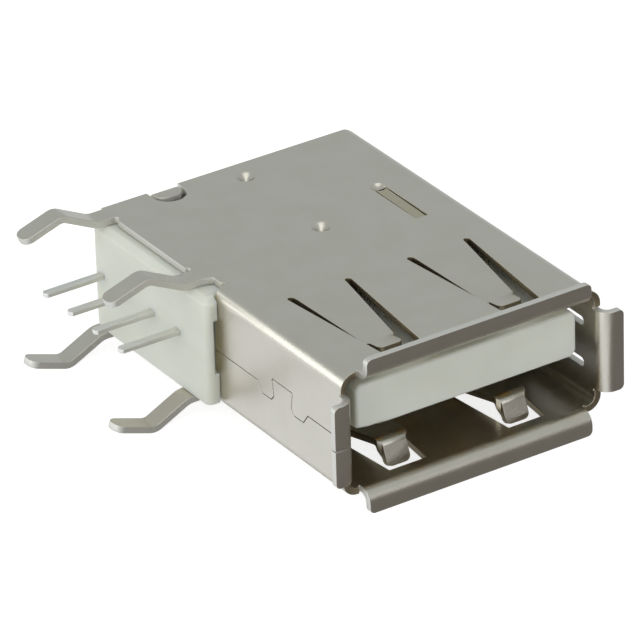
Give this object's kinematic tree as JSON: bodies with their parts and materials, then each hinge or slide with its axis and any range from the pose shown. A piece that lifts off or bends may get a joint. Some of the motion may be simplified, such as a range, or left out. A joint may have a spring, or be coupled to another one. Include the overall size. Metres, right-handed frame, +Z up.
{
  "type": "usb-a socket",
  "caption": "Shielded socket for a flat plug: a folded steel shell with spring fingers and flared lips, a moulded insulator, and contacts and kinked legs that leave on one side.",
  "frame": {"origin": "centre of the mouth, in the plane where the lips start to turn outwards", "axes": "+Y runs into the socket, +Z up with the thin side vertical, -X towards the board that the legs and contact tails go into"},
  "size_m": [0.0186, 0.0194, 0.0074],
  "materials": {
    "plated_steel": "nickel plated, satin",
    "moulded_plastic": "moulded, fine matt",
    "plated_contact": "tin plated tails, gold plated springs"
  },
  "bodies": {
    "root": {"shell": "plated_steel", "insulator": "moulded_plastic", "contact_1": "plated_contact", "contact_2": "plated_contact", "contact_3": "plated_contact", "contact_4": "plated_contact"}
  },
  "joints": []
}
